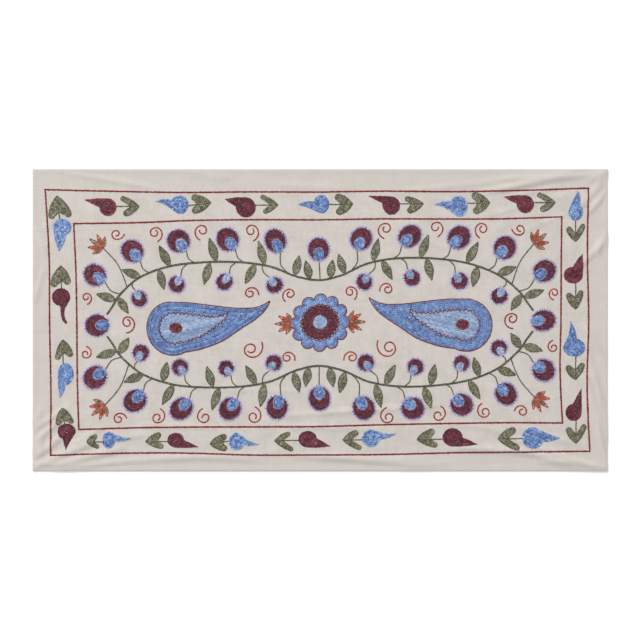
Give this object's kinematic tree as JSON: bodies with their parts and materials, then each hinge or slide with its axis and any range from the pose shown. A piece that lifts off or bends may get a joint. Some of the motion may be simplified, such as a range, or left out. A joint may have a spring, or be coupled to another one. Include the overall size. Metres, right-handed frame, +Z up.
{
  "type": "suzani embroidered textile",
  "caption": "Flat rectangular cotton cloth with a turned hem, its face embroidered in raised silk chain stitch: red lines, a spray border, and a field of vines, discs and drop figures.",
  "frame": {"origin": "on the surface that the cloth lies on, under the middle of the cloth", "axes": "+X along the long sides, +Y up the design across the short sides, +Z up out of the embroidered face"},
  "size_m": [1.27, 0.667, 0.0062],
  "materials": {
    "cotton": "plain-woven undyed cotton, matt, softly creased",
    "burgundy_thread": "silk chain stitch, mottled, with a soft sheen",
    "blue_thread": "silk chain stitch, mottled, with a soft sheen",
    "olive_thread": "silk chain stitch, mottled, with a soft sheen",
    "red_thread": "silk chain stitch in single rows"
  },
  "bodies": {
    "root": {"boteh_left": "blue_thread", "boteh_right": "blue_thread", "cloth": "cotton", "disc_end_left": "burgundy_thread", "disc_end_right": "burgundy_thread", "disc_lower_left_1": "burgundy_thread", "disc_lower_left_2": "burgundy_thread", "disc_lower_left_3": "burgundy_thread", "disc_lower_left_4": "burgundy_thread", "disc_lower_left_5": "burgundy_thread", "disc_lower_middle": "burgundy_thread", "disc_lower_right_1": "burgundy_thread", "disc_lower_right_2": "burgundy_thread", "disc_lower_right_3": "burgundy_thread", "disc_lower_right_4": "burgundy_thread", "disc_lower_right_5": "burgundy_thread", "disc_upper_left_1": "burgundy_thread", "disc_upper_left_2": "burgundy_thread", "disc_upper_left_3": "burgundy_thread", "disc_upper_left_4": "burgundy_thread", "disc_upper_left_5": "burgundy_thread", "disc_upper_middle": "burgundy_thread", "disc_upper_right_1": "burgundy_thread", "disc_upper_right_2": "burgundy_thread", "disc_upper_right_3": "burgundy_thread", "disc_upper_right_4": "burgundy_thread", "disc_upper_right_5": "burgundy_thread", "line_inner_1": "red_thread", "line_inner_2": "red_thread", "line_inner_3": "red_thread", "line_inner_4": "red_thread", "line_outer_1": "red_thread", "line_outer_2": "red_thread", "line_outer_3": "red_thread", "line_outer_4": "red_thread", "rosette": "blue_thread", "spray_bottom_1": "blue_thread", "spray_bottom_2": "burgundy_thread", "spray_bottom_3": "blue_thread", "spray_bottom_4": "burgundy_thread", "spray_bottom_5": "blue_thread", "spray_bottom_6": "burgundy_thread", "spray_bottom_7": "blue_thread", "spray_left_1": "blue_thread", "spray_left_2": "burgundy_thread", "spray_left_3": "blue_thread", "spray_left_4": "burgundy_thread", "spray_right_1": "blue_thread", "spray_right_2": "burgundy_thread", "spray_right_3": "blue_thread", "spray_right_4": "burgundy_thread", "spray_top_1": "burgundy_thread", "spray_top_2": "blue_thread", "spray_top_3": "burgundy_thread", "spray_top_4": "blue_thread", "spray_top_5": "burgundy_thread", "spray_top_6": "blue_thread", "spray_top_7": "burgundy_thread", "vine_lower": "olive_thread", "vine_upper": "olive_thread"}
  },
  "joints": []
}
